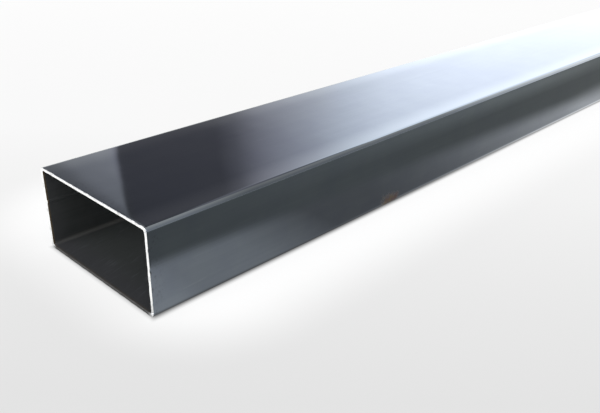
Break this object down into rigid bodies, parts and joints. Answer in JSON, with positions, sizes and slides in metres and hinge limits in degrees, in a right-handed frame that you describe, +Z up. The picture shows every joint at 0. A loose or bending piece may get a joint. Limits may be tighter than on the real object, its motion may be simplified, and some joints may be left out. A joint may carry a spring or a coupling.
{
  "type": "rectangular steel box section",
  "caption": "Straight length of thin-walled rectangular steel box section, open at both sawn ends, for frames, legs and rails.",
  "frame": {"origin": "middle of the underside, which is the centre of the bottom of the bounding box", "axes": "+X along the length, +Y across the width, +Z up through the height; the weld seam is in the side wall on the +Y side, 4 mm above the middle of its height"},
  "size_m": [1, 0.1, 0.05],
  "materials": {
    "mill_steel": "oiled dark blue-grey mill finish with bright sawn ends"
  },
  "bodies": {
    "root": {"box_section": "mill_steel"}
  },
  "joints": []
}
